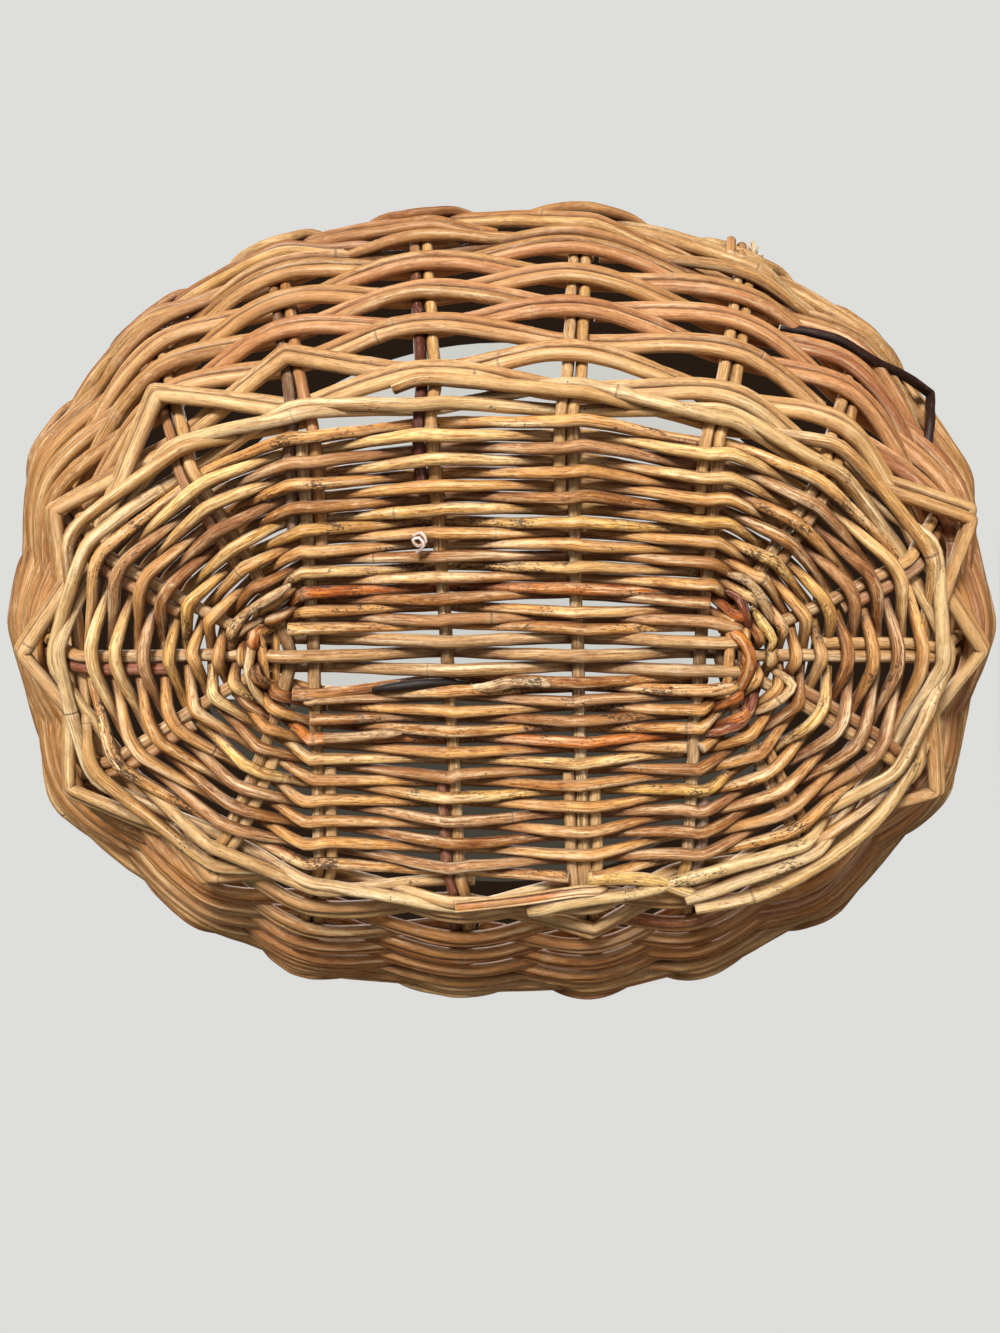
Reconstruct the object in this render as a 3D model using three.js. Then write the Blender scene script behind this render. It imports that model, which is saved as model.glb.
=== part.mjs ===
// An oval harvest basket of whole rattan rods, woven on a stick-and-strand base, with doubled
// rods in the side and the stakes turned down in pairs for a border. It stands on its base.
// Millimetres. +Z is up, +X runs along the basket, the origin is under the middle of the base.
import * as THREE from 'three';

// Driving dimensions.

const BASE_HALF_LENGTH = 189; // middle of the base to the middle of the wall's foot, along X
const BASE_HALF_WIDTH = 108; // the same, along Y
const RIM_HALF_LENGTH = 257; // middle of the mouth to the middle of the wall at the rim, along X
const RIM_HALF_WIDTH = 206;
const HEIGHT = 116; // floor to the top of the border
const OVAL_POWER = 2.3; // 2 is an ellipse, more is squarer
const BASE_CROWN = 8; // how far the middle of the base stands above its edge
const CROWN_REACH = 0.8; // share of the oval, squared, that the crown covers
const WALL_BULGE = 0.16; // how far the wall curves out on its way up

const STICK_DIAMETER = 6; // the nine rods that carry the base
const WEAVER_DIAMETER = 5; // the rods woven through the sticks
const WALE_DIAMETER = 5.8; // the three rods round the foot
const STAKE_DIAMETER = 5.6; // the paired rods that carry the wall
const SIDE_ROD_DIAMETER = 5.4; // the doubled rods of the wall
const CLEARANCE = 0.3; // between rods that lie on each other

const BASE_ROWS = 11; // rods round the base, from the middle out
const GROUPED_ROWS = 4; // the first rows take neighbouring sticks together
const SIDE_ROWS = 8; // doubled rods, one row above the other
const LONG_STICK_PITCH = 6.4;
const FIRST_ROW_GAP = 2.2; // between the outer long sticks and the first row
const FIRST_ROW_END = 109; // where the first row turns round the ends of the long sticks
const LAST_ROW_INSET = 18.2; // last base row to the middle of the wall's foot
const STAKE_INSERT = 36; // length of a stake pair that lies in the base
const CORNER = 9; // half of the stretch in which base turns into wall
const FIRST_WALE_INSET = 10; // first foot rod to the middle of the wall's foot
const WALE_PITCH = 7;
const STICK_INSET = 12; // end of a stick to the middle of the wall's foot
const FIRST_SIDE_ROW = 17.5; // up the wall on the long sides, from the foot
const LAST_SIDE_ROW = 36; // the last row of the wall, below the top of the border
const RUN_GAP = 0.5; // between the two runs of the border
const BORDER_BEND = 9; // radius at which a stake pair turns along the rim
const JOINT_GAP = 0.5; // between the two ends of a rod that has gone once round

// The cross sticks, from -X to +X: where each crosses the middle of the base, how it leans,
// and how far its two ends spread from that line.
const CROSS_STICKS = [
  { middle: -93, lean: 0, spreadFront: -56, spreadBack: -44 },
  { middle: -83, lean: 0.01, spreadFront: 0, spreadBack: 0 },
  { middle: -24, lean: 0.055, spreadFront: 0, spreadBack: 0 },
  { middle: 34, lean: 0.04, spreadFront: 0, spreadBack: 0 },
  { middle: 88, lean: -0.04, spreadFront: 0, spreadBack: 0 },
  { middle: 97, lean: 0, spreadFront: 60, spreadBack: 52 },
];
const CROSS_SPREAD_POWER = 1.3;

// The long sticks, from -Y to +Y: how far their two ends spread from the middle one.
const LONG_STICKS = [
  { place: -1, spreadLeft: -50, spreadRight: -43 },
  { place: 0, spreadLeft: 0, spreadRight: 0 },
  { place: 1, spreadLeft: 52, spreadRight: 50 },
];
const LONG_SPREAD_POWER = 1.1;
const LONG_SPREAD_START = 104;
const CROSSING_FLAT = 5; // half of the level stretch where one stick crosses another
const SETTLE_LENGTH = 7; // past the outer cross sticks, a long stick is level again

const COLOURS = {
  stick: 0xa8845a,
  stake: 0xa9744a,
  weaver: 0xb08a5c,
  wale: 0xd8be86,
  side: 0xc08a55,
};

// The base and the wall as one surface through the middle of the sticks and stakes.

const hexagonApothem = (WALE_DIAMETER / 2) * Math.cos(Math.PI / 6);
const weaverStep = (STICK_DIAMETER + WEAVER_DIAMETER) / 2 + CLEARANCE;
const waleStep = (STICK_DIAMETER + WALE_DIAMETER) / 2 + CLEARANCE;
const sideStep = (STAKE_DIAMETER + SIDE_ROD_DIAMETER) / 2 + CLEARANCE;
const borderStep = STAKE_DIAMETER + CLEARANCE;
const longStep = STICK_DIAMETER + CLEARANCE;
const EDGE_HEIGHT = waleStep + hexagonApothem;
const stakeShift = (STICK_DIAMETER + STAKE_DIAMETER * 2) / 2 + CLEARANCE;

const signedPower = (value, power) => Math.sign(value) * Math.abs(value) ** power;

function ovalPoint(angle, halfLength, halfWidth) {
  const x = halfLength * signedPower(Math.cos(angle), 2 / OVAL_POWER);
  const y = halfWidth * signedPower(Math.sin(angle), 2 / OVAL_POWER);
  return new THREE.Vector2(x, y);
}

function ovalAngle(x, y) {
  const alongX = signedPower(x / BASE_HALF_LENGTH, OVAL_POWER / 2);
  const alongY = signedPower(y / BASE_HALF_WIDTH, OVAL_POWER / 2);
  return Math.atan2(alongY, alongX);
}

function crownAt(x, y) {
  const reach = (x / BASE_HALF_LENGTH) ** 2 + (y / BASE_HALF_WIDTH) ** 2;
  return BASE_CROWN * (1 - Math.min(1, reach / CROWN_REACH));
}

const basePoint = (x, y) => new THREE.Vector3(x, y, EDGE_HEIGHT + crownAt(x, y));

const slantLength = Math.hypot(RIM_HALF_WIDTH - BASE_HALF_WIDTH, HEIGHT - EDGE_HEIGHT);
const sidePitch = (slantLength - FIRST_SIDE_ROW - LAST_SIDE_ROW) / (SIDE_ROWS - 1);

function straightWallPoint(angle, rise) {
  const share = rise / slantLength;
  const foot = ovalPoint(angle, BASE_HALF_LENGTH, BASE_HALF_WIDTH);
  const rim = ovalPoint(angle, RIM_HALF_LENGTH, RIM_HALF_WIDTH);
  const spread = foot.lerp(rim, share * (1 + WALL_BULGE * (1 - share)));
  return new THREE.Vector3(spread.x, spread.y, THREE.MathUtils.lerp(EDGE_HEIGHT, HEIGHT, share));
}

// A negative rise lies in the base, inside the foot. The corner is a quadratic arc.
function wallPoint(angle, rise) {
  if (rise >= CORNER) return straightWallPoint(angle, rise);
  const foot = ovalPoint(angle, BASE_HALF_LENGTH, BASE_HALF_WIDTH);
  const nudge = 0.01;
  const along = ovalPoint(angle + nudge, BASE_HALF_LENGTH, BASE_HALF_WIDTH).sub(foot).normalize();
  const inward = (distance) => basePoint(foot.x - along.y * distance, foot.y + along.x * distance);
  if (rise <= -CORNER) return inward(-rise);
  const arc = new THREE.QuadraticBezierCurve3(inward(CORNER), basePoint(foot.x, foot.y), straightWallPoint(angle, CORNER));
  return arc.getPoint((rise + CORNER) / (2 * CORNER));
}

// Directions on the wall: along it, up it and out of it.
function wallFrame(angle, rise) {
  const nudge = 0.01;
  const along = wallPoint(angle + nudge, rise).sub(wallPoint(angle - nudge, rise));
  const up = wallPoint(angle, rise + 1).sub(wallPoint(angle, rise - 1)).normalize();
  const speed = along.length() / (2 * nudge);
  const out = along.clone().normalize().cross(up).normalize();
  return { speed, out, up };
}

// A place on the wall: a distance sideways from an angle, a rise, and distances outwards and
// upwards from there.
function onWall(angle, sideways, rise, outwards = 0, upwards = 0) {
  const place = angle + sideways / wallFrame(angle, rise).speed;
  const { out, up } = wallFrame(place, rise);
  const point = wallPoint(place, rise).addScaledVector(out, outwards).addScaledVector(up, upwards);
  return { point, out };
}

// The ends of the sticks. Each spoke runs from the middle of the base to the foot of the wall.

function crossStickX(stick, y) {
  const spread = y < 0 ? stick.spreadFront : stick.spreadBack;
  return stick.middle + stick.lean * y + spread * Math.abs(y / BASE_HALF_WIDTH) ** CROSS_SPREAD_POWER;
}

function longStickY(stick, x) {
  const spread = x < 0 ? stick.spreadLeft : stick.spreadRight;
  const reach = Math.max(0, Math.abs(x) - LONG_SPREAD_START) / (BASE_HALF_LENGTH - LONG_SPREAD_START);
  return stick.place * LONG_STICK_PITCH + spread * reach ** LONG_SPREAD_POWER;
}

// The distance along a stick at which it meets the foot, by halving.
function reachOfStick(pointAt) {
  let inside = 0;
  let outside = BASE_HALF_LENGTH;
  for (let turn = 0; turn < 40; turn += 1) {
    const middle = (inside + outside) / 2;
    const { x, y } = pointAt(middle);
    const size = Math.abs(x / BASE_HALF_LENGTH) ** OVAL_POWER + Math.abs(y / BASE_HALF_WIDTH) ** OVAL_POWER;
    if (size < 1) inside = middle;
    else outside = middle;
  }
  return inside;
}

// The line of a spoke runs from the first row to the foot, measured back from the foot.
function makeSpoke(kind, pointAt, firstRow) {
  const reach = reachOfStick(pointAt);
  const foot = pointAt(reach);
  const pieces = 12;
  const line = new THREE.SplineCurve(
    Array.from({ length: pieces + 1 }, (_, piece) => pointAt(THREE.MathUtils.lerp(firstRow, reach, piece / pieces))),
  );
  const length = line.getLength();
  const place = (inset) => line.getPointAt(1 - inset / length);
  const direction = (inset) => line.getTangentAt(1 - inset / length);
  return { kind, length, place, direction, reach, angle: ovalAngle(foot.x, foot.y) };
}

const FIRST_ROW_SIDE = LONG_STICK_PITCH + STICK_DIAMETER / 2 + FIRST_ROW_GAP + WEAVER_DIAMETER / 2;

const crossSpoke = (stick, side) => makeSpoke(
  'cross',
  (distance) => new THREE.Vector2(crossStickX(stick, side * distance), side * distance),
  FIRST_ROW_SIDE,
);

const longSpoke = (stick, side) => makeSpoke(
  'long',
  (distance) => new THREE.Vector2(side * distance, longStickY(stick, side * distance)),
  FIRST_ROW_END,
);

// Anticlockwise from the front left, seen from above.
const SPOKES = [
  ...CROSS_STICKS.map((stick) => crossSpoke(stick, -1)),
  ...LONG_STICKS.map((stick) => longSpoke(stick, 1)),
  ...CROSS_STICKS.toReversed().map((stick) => crossSpoke(stick, 1)),
  ...LONG_STICKS.toReversed().map((stick) => longSpoke(stick, -1)),
];
const spokeAt = (index) => SPOKES[((index % SPOKES.length) + SPOKES.length) % SPOKES.length];

// A rod is a section swept along stations that each hold a point and the way out of the weave.

class StationPath extends THREE.Curve {
  constructor(stations) {
    super();
    this.stations = stations;
  }

  getSpacedPoints() {
    return this.stations.map((station) => station.point.clone());
  }

  computeFrenetFrames() {
    const last = this.stations.length - 1;
    const frames = { tangents: [], normals: [], binormals: [] };
    this.stations.forEach((station, index) => {
      const before = this.stations[Math.max(0, index - 1)].point;
      const after = this.stations[Math.min(last, index + 1)].point;
      const tangent = after.clone().sub(before).normalize();
      const out = station.out.clone().addScaledVector(tangent, -station.out.dot(tangent)).normalize();
      frames.tangents.push(tangent);
      frames.normals.push(out.clone().cross(tangent));
      frames.binormals.push(out);
    });
    return frames;
  }
}

// A round rod as a polygon with one flat side towards the outside.
function rodSection(diameter, sides) {
  const corners = Array.from({ length: sides }, (_, index) => {
    const angle = Math.PI / 2 + ((index + 0.5) * 2 * Math.PI) / sides;
    return new THREE.Vector2(Math.cos(angle), Math.sin(angle)).multiplyScalar(diameter / 2);
  });
  return new THREE.Shape(corners);
}

// Two rods side by side, which touch along their whole length.
function pairSection(diameter) {
  const radius = diameter / 2;
  const quarter = [
    [2 * radius, 0],
    [radius, 0.92 * radius],
    [0, 0.4 * radius],
    [-radius, 0.92 * radius],
  ];
  const corners = quarter.map(([x, y]) => new THREE.Vector2(x, y));
  const opposite = quarter.map(([x, y]) => new THREE.Vector2(-x, -y));
  return new THREE.Shape([...corners, ...opposite]);
}

const basket = new THREE.Group();

function addRod(name, section, stations, colour) {
  const geometry = new THREE.ExtrudeGeometry(section, {
    steps: stations.length - 1,
    bevelEnabled: false,
    extrudePath: new StationPath(stations),
  });
  const material = new THREE.MeshStandardMaterial({ color: colour, roughness: 0.6, metalness: 0 });
  const mesh = new THREE.Mesh(geometry, material);
  mesh.name = name;
  basket.add(mesh);
}

const twoDigits = (number) => String(number).padStart(2, '0');

// The nine sticks, with the long ones woven through the cross ones.

const DOWN = new THREE.Vector3(0, 0, -1);

function addCrossStick(stick, index) {
  const front = crossSpoke(stick, -1).reach - STICK_INSET;
  const back = crossSpoke(stick, 1).reach - STICK_INSET;
  const steps = stick.spreadFront === 0 ? 6 : 10;
  const stations = Array.from({ length: steps + 1 }, (_, step) => {
    const y = THREE.MathUtils.lerp(-front, back, step / steps);
    return { point: basePoint(crossStickX(stick, y), y), out: DOWN };
  });
  addRod(`cross_stick_${index + 1}`, rodSection(STICK_DIAMETER, 6), stations, COLOURS.stick);
}

// Where the long sticks cross the others: the outer two are taken as one at either end.
const CROSSINGS = [
  { from: CROSS_STICKS[0].middle - CROSSING_FLAT, to: CROSS_STICKS[1].middle + CROSSING_FLAT },
  { from: CROSS_STICKS[2].middle - CROSSING_FLAT, to: CROSS_STICKS[2].middle + CROSSING_FLAT },
  { from: CROSS_STICKS[3].middle - CROSSING_FLAT, to: CROSS_STICKS[3].middle + CROSSING_FLAT },
  { from: CROSS_STICKS[4].middle - CROSSING_FLAT, to: CROSS_STICKS[5].middle + CROSSING_FLAT },
];
const settledLeft = CROSSINGS[0].from - SETTLE_LENGTH;
const settledRight = CROSSINGS[3].to + SETTLE_LENGTH;

// How far a long stick is still out of the middle of the base, just past the cross sticks.
function unsettled(x) {
  const past = x < 0 ? CROSSINGS[0].from - x : x - CROSSINGS[3].to;
  return longStep * THREE.MathUtils.clamp(1 - past / SETTLE_LENGTH, 0, 1);
}

function addLongStick(stick, index) {
  const levelAt = [[settledLeft, 0]];
  CROSSINGS.forEach((crossing, place) => {
    const above = (place + stick.place) % 2 === 0 ? -1 : 1;
    levelAt.push([crossing.from, above * longStep], [crossing.to, above * longStep]);
  });
  levelAt.push([settledRight, 0]);
  const left = longSpoke(stick, -1).reach - STICK_INSET;
  const right = longSpoke(stick, 1).reach - STICK_INSET;
  const outer = [0.35, 0.7, 1];
  const places = [
    ...outer.toReversed().map((share) => [THREE.MathUtils.lerp(settledLeft, -left, share), 0]),
    ...levelAt,
    ...outer.map((share) => [THREE.MathUtils.lerp(settledRight, right, share), 0]),
  ];
  const stations = places.map(([x, level]) => {
    const point = basePoint(x, longStickY(stick, x));
    point.z += level;
    return { point, out: DOWN };
  });
  addRod(`long_stick_${index + 1}`, rodSection(STICK_DIAMETER, 6), stations, COLOURS.stick);
}

CROSS_STICKS.forEach(addCrossStick);
LONG_STICKS.forEach(addLongStick);

// The rods woven through the base, which pass each stick outside or inside by turns.

const ROW_PASS = STICK_DIAMETER / 2 + 1.2; // half of the level stretch over one stick
const WALL_PASS = STAKE_DIAMETER + 1.4; // the same over a stake pair on the wall
const BUNDLE_MARGIN = 1;

const BUNDLE_PASS = ROW_PASS + STAKE_DIAMETER * 2 + CLEARANCE + BUNDLE_MARGIN;

function rowInset(spoke, row) {
  return THREE.MathUtils.lerp(spoke.length, LAST_ROW_INSET, row / (BASE_ROWS - 1));
}

const rowPlace = (index, row) => spokeAt(index).place(rowInset(spokeAt(index), row));

// Where the stakes lie beside the stick, the row passes all three.
function passStations(index, row, side) {
  const middle = rowPlace(index, row);
  const along = rowPlace(index + 1, row).sub(rowPlace(index - 1, row)).normalize();
  const withStakes = rowInset(spokeAt(index), row) < STAKE_INSERT + WEAVER_DIAMETER;
  const after = withStakes ? BUNDLE_PASS : ROW_PASS;
  return [-ROW_PASS, after].map((sideways) => {
    const place = middle.clone().addScaledVector(along, sideways);
    const point = basePoint(place.x, place.y);
    point.z -= side * weaverStep;
    return { point, out: DOWN };
  });
}

// One pass over a group of neighbouring sticks, from the first to the last.
function groupStations(first, last, row, side) {
  const from = rowPlace(first, row);
  const to = rowPlace(last, row);
  const isEnd = spokeAt(first).kind === 'long';
  const lift = isEnd ? unsettled(from.x) : 0;
  const across = to.clone().sub(from).normalize();
  const onRow = (index) => rowPlace(index + 1, row).sub(rowPlace(index - 1, row)).normalize();
  const along = (index) => (isEnd ? across : onRow(index));
  const ends = [
    from.addScaledVector(along(first), -ROW_PASS),
    to.addScaledVector(along(last), ROW_PASS),
  ];
  return ends.map((place) => {
    const point = basePoint(place.x, place.y);
    point.z -= side * (weaverStep + lift);
    return { point, out: DOWN };
  });
}

const GROUPS = [
  [0, 1], [2, 2], [3, 3], [4, 5], [6, 8], [9, 10], [11, 11], [12, 12], [13, 14], [15, 17],
];

// The rod goes once round, and its two ends meet between two sticks.
function joinedRound(stations, start) {
  const turned = [...stations.slice(start), ...stations.slice(0, start)];
  const first = turned[0];
  const last = turned[turned.length - 1];
  const middle = first.point.clone().lerp(last.point, 0.5);
  const towards = first.point.clone().sub(last.point).setLength(JOINT_GAP / 2);
  const head = { point: middle.clone().add(towards), out: first.out };
  const tail = { point: middle.clone().sub(towards), out: last.out };
  return [head, ...turned, tail];
}

function addBaseWeaver(row) {
  const grouped = row < GROUPED_ROWS;
  const passes = grouped ? GROUPS : SPOKES.map((_, index) => [index, index]);
  const stations = passes.flatMap(([first, last], pass) => {
    const side = (pass + row) % 2 === 0 ? 1 : -1;
    return grouped ? groupStations(first, last, row, side) : passStations(first, row, side);
  });
  const start = 2 * ((row * 5) % passes.length);
  const name = `base_weaver_${twoDigits(row + 1)}`;
  addRod(name, rodSection(WEAVER_DIAMETER, 5), joinedRound(stations, start), COLOURS.weaver);
}

for (let row = 0; row < BASE_ROWS; row += 1) addBaseWeaver(row);

// The wale round the foot: each rod passes outside two stakes and inside the third.

function addFootWaleRod(place) {
  const rise = place * WALE_PITCH - FIRST_WALE_INSET;
  const stations = SPOKES.flatMap(({ angle }, index) => {
    const side = (index + place) % 3 === 0 ? -1 : 1;
    return [-WALL_PASS, BUNDLE_PASS].map((sideways) => onWall(angle, sideways, rise, side * waleStep));
  });
  const start = 2 * (3 + place * 7);
  const name = `foot_wale_rod_${place + 1}`;
  addRod(name, rodSection(WALE_DIAMETER, 6), joinedRound(stations, start), COLOURS.wale);
}

for (let place = 0; place < 3; place += 1) addFootWaleRod(place);

// The side: two rods together pass outside one stake pair and inside the next.

function wallPass(index, rise, outwards, upwards) {
  const { angle } = spokeAt(index);
  const sides = [-WALL_PASS, WALL_PASS];
  return sides.map((sideways) => onWall(angle, sideways, rise, outwards, upwards));
}

function addSideRod(row, place) {
  const rise = FIRST_SIDE_ROW + row * sidePitch;
  const upwards = (place - 0.5) * (SIDE_ROD_DIAMETER + CLEARANCE);
  const stations = SPOKES.flatMap((_, index) => {
    const side = (index + row) % 2 === 0 ? 1 : -1;
    return wallPass(index, rise, side * sideStep, upwards);
  });
  const start = 2 * ((row * 7 + place * 4) % SPOKES.length);
  const name = `side_rod_${row + 1}_${place === 0 ? 'lower' : 'upper'}`;
  addRod(name, rodSection(SIDE_ROD_DIAMETER, 5), joinedRound(stations, start), COLOURS.side);
}

for (let row = 0; row < SIDE_ROWS; row += 1) {
  for (let place = 0; place < 2; place += 1) addSideRod(row, place);
}

// The stake pairs: in the base beside a stick, up the wall, along the rim outside the next pair
// and in behind it.

const pairWidth = STAKE_DIAMETER * 2;
const upperRun = -pairWidth / 2; // middle of a pair that runs along the rim, from the top
const lowerRun = upperRun - pairWidth - RUN_GAP;

// The lower end of a pair lies in the base, alongside its stick.
function insertStations(spoke) {
  const insets = [STAKE_INSERT, (STAKE_INSERT + CORNER) / 2, CORNER];
  return insets.map((inset) => {
    const direction = spoke.direction(inset);
    const along = new THREE.Vector2(-direction.y, direction.x);
    const place = spoke.place(inset).addScaledVector(along, stakeShift);
    return { point: basePoint(place.x, place.y), out: DOWN };
  });
}

// Part of the way from one spoke to the next, along the rim.
function betweenSpokes(index, share, outwards, upwards) {
  const from = spokeAt(index).angle;
  const turn = THREE.MathUtils.euclideanModulo(spokeAt(index + 1).angle - from, 2 * Math.PI);
  return onWall(from + turn * share, 0, slantLength, outwards, upwards);
}

function stakePairStations(index) {
  const { angle } = spokeAt(index);
  const rises = [CORNER, 0.36 * slantLength, 0.64 * slantLength];
  const bend = BORDER_BEND * (1 - Math.SQRT1_2);
  return [
    ...insertStations(spokeAt(index)),
    onWall(angle, stakeShift / 2, 0),
    ...rises.map((rise) => onWall(angle, 0, rise)),
    onWall(angle, 0, slantLength, 0, upperRun - BORDER_BEND),
    onWall(angle, bend, slantLength, 0, upperRun - bend),
    onWall(angle, BORDER_BEND, slantLength, 0, upperRun),
    betweenSpokes(index, 0.52, 0, upperRun),
    ...wallPass(index + 1, slantLength, borderStep, lowerRun),
    betweenSpokes(index + 1, 0.34, 0, lowerRun),
    betweenSpokes(index + 1, 0.48, -borderStep / 2, lowerRun),
  ];
}

SPOKES.forEach((_, index) => {
  const name = `stake_pair_${twoDigits(index + 1)}`;
  addRod(name, pairSection(STAKE_DIAMETER), stakePairStations(index), COLOURS.stake);
});

export default basket;
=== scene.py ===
# %% Load the frame
import math

import bmesh
import bpy
import numpy as np
from mathutils import Matrix, Vector


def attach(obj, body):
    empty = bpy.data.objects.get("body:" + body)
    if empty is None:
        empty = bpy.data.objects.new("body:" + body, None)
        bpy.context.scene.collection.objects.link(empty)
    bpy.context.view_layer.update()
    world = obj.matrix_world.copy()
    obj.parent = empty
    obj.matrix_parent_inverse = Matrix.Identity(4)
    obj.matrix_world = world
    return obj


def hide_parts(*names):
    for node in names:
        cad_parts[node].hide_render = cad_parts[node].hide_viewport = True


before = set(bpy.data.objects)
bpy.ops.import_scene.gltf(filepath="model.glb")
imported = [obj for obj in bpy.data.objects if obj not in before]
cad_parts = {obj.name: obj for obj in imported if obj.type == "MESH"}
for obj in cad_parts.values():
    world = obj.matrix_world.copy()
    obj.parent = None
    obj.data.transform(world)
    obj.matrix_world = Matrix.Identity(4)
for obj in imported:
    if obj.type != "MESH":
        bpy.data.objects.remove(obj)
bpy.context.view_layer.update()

# %% [markdown]
# # A harvest basket of whole rattan rods
#
# The real basket is nothing but rods. Nine sticks are woven into a cross, single rods are
# woven round them as the base, three pale rods lock its edge, and pairs of stakes pushed in
# beside the sticks turn up and carry the doubled rods of the side. The same stakes are turned
# down along the rim as the border.
#
# A bent rod is a thick line, so every rod here is a curve with a round bevel. The curve is
# laid through a few places that the maker also works to: outside this stick, inside the next.
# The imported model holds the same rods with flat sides, so their sizes are repeated here.

# %% The photograph's viewpoint
TILT = math.radians(9.8)
DISTANCE = 428.0  # camera to the origin, in mm
CENTRE = (501.0, 660.0)  # the pixel in whose direction the origin lies
FOCAL = 1000.0  # pixels: what is as wide as it is far away covers this many
SIN, COS = math.sin(TILT), math.cos(TILT)
print("the camera stands", DISTANCE, "mm away, tilted", round(math.degrees(TILT), 1), "degrees")

# %% Sizes shared with the model, in millimetres
BASE_HALF = (189.0, 108.0)
RIM_HALF = (257.0, 206.0)
HEIGHT = 116.0
OVAL_POWER = 2.3
BASE_CROWN = 8.0
CROWN_REACH = 0.8
WALL_BULGE = 0.16
EDGE_HEIGHT = 8.711  # floor to the middle of the sticks, at the edge of the base
CORNER = 9.0
LONG_PITCH = 6.4
LONG_SPREAD_START = 104.0
SLANT = math.hypot(RIM_HALF[1] - BASE_HALF[1], HEIGHT - EDGE_HEIGHT)
# The rim has sagged out of its oval: degrees round the basket, and mm outwards there.
RIM_SWELL = [
    (-157, -1), (-132, -2), (-113, 1), (-97, 1.5), (-83, 4), (-64, -2), (-46, -4), (-21, -5), (0, 1),
    (23, 2), (48, 3), (67, 6.5), (81, 7), (94, 4), (113, 5), (129, 0), (156, 5), (180, 0),
]

STICK, WEAVER, WALE, STAKE, SIDE = 2.9, 2.85, 2.9, 2.75, 2.85  # radii
# From the middle of one rod to the middle of another that is bent round it.
BASE_STEP = STICK + WEAVER + 0.1
WALE_STEP = STICK + WALE + 0.2
SIDE_STEP = STAKE + SIDE + 0.25

BASE_ROWS = 19
KINKED_ROWS = 12
GROUPED_ROWS = 2
FREE_ROWS = 4  # these stop before they would turn round the ends of the cross
FIRST_ROW = 12.0
FIRST_ROW_END = 107.0
LAST_ROW_INSET = 7.5
ROW_SPREAD = 1.08  # above 1, the rows lie closer in the middle
SIDE_RISES = (13.5, 25.0, 44.0, 55.5, 68.5, 80.0, 93.0, 104.5)  # each side row, up the slant

rng = np.random.default_rng(7)
print("the side is", round(SLANT, 1), "mm up the slant, with rows at", SIDE_RISES)

# %% [markdown]
# ## The surface that the rods follow
#
# A maker bends the stakes up round a foot and lets the rim find its oval. That is one surface:
# a crowned oval floor, a short round corner and a flared side that swells a little. Every
# place on it has an angle round the basket and a rise up the side.


# %% The oval, the crowned floor and the flared side
def unit(vectors):
    return vectors / np.linalg.norm(vectors, axis=-1, keepdims=True)


def travelled_along(points):
    """How far along a line each of its points lies."""
    return np.concatenate([[0], np.cumsum(np.linalg.norm(np.diff(points, axis=0), axis=1))])


def oval(angle, half):
    across, along = np.cos(angle), np.sin(angle)
    x = half[0] * np.sign(across) * np.abs(across) ** (2 / OVAL_POWER)
    y = half[1] * np.sign(along) * np.abs(along) ** (2 / OVAL_POWER)
    return np.stack([x, y], axis=-1)


def on_base(place, out=0.0):
    """A point of the base, `out` below the middle of the sticks."""
    x, y = place[..., 0], place[..., 1]
    reach = (x / BASE_HALF[0]) ** 2 + (y / BASE_HALF[1]) ** 2
    height = EDGE_HEIGHT + BASE_CROWN * (1 - np.minimum(1, reach / CROWN_REACH))
    return np.stack([x, y, height - out], axis=-1)


def straight_wall(angle, rise):
    share = (rise / SLANT)[..., None]
    foot, rim = oval(angle, BASE_HALF), oval(angle, RIM_HALF)
    place = foot + (rim - foot) * share * (1 + WALL_BULGE * (1 - share))
    swell = np.interp(np.degrees(angle), *np.transpose(RIM_SWELL), period=360)[..., None]
    place = place + unit(rim - foot) * swell * share**2
    height = EDGE_HEIGHT + (HEIGHT - EDGE_HEIGHT) * share
    return np.concatenate([place, height], axis=-1)


def wall(angle, rise):
    """The whole surface: the base inside the foot, then the round corner, then the side."""
    angle, rise = np.broadcast_arrays(np.asarray(angle, float), np.asarray(rise, float))
    foot = oval(angle, BASE_HALF)
    along = unit(oval(angle + 0.01, BASE_HALF) - foot)
    inwards = np.stack([-along[..., 1], along[..., 0]], axis=-1)
    inside = on_base(foot - inwards * rise[..., None])
    share = np.clip((rise + CORNER) / (2 * CORNER), 0, 1)[..., None]
    start = on_base(foot + inwards * CORNER)
    end = straight_wall(angle, np.full_like(rise, CORNER))
    corner = (1 - share) ** 2 * start + 2 * share * (1 - share) * on_base(foot) + share**2 * end
    high = (rise >= CORNER)[..., None]
    low = (rise <= -CORNER)[..., None]
    return np.where(high, straight_wall(angle, rise), np.where(low, inside, corner))


def wall_frame(angle, rise):
    """How far one goes round per radian, and the directions out of and up the wall."""
    along = wall(angle + 0.01, rise) - wall(angle - 0.01, rise)
    up = unit(wall(angle, rise + 1.0) - wall(angle, rise - 1.0))
    out = unit(np.cross(unit(along), up))
    return np.linalg.norm(along, axis=-1) / 0.02, out, up


def on_wall(angle, sideways, rise, out=0.0, up=0.0):
    """A point a distance sideways from an angle, a rise up, and then out and up from there."""
    speed, _, _ = wall_frame(angle, rise)
    place = angle + sideways / speed
    _, outwards, upwards = wall_frame(place, rise)
    return wall(place, rise) + outwards * out + upwards * up


# %% [markdown]
# ## Eighteen spokes
#
# Seen from the weaver's hands, the nine sticks are eighteen spokes that leave the middle.
# The outer cross sticks and the outer long sticks are pulled apart as soon as the first rows
# hold them, which is what opens the fan at either end.

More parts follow.
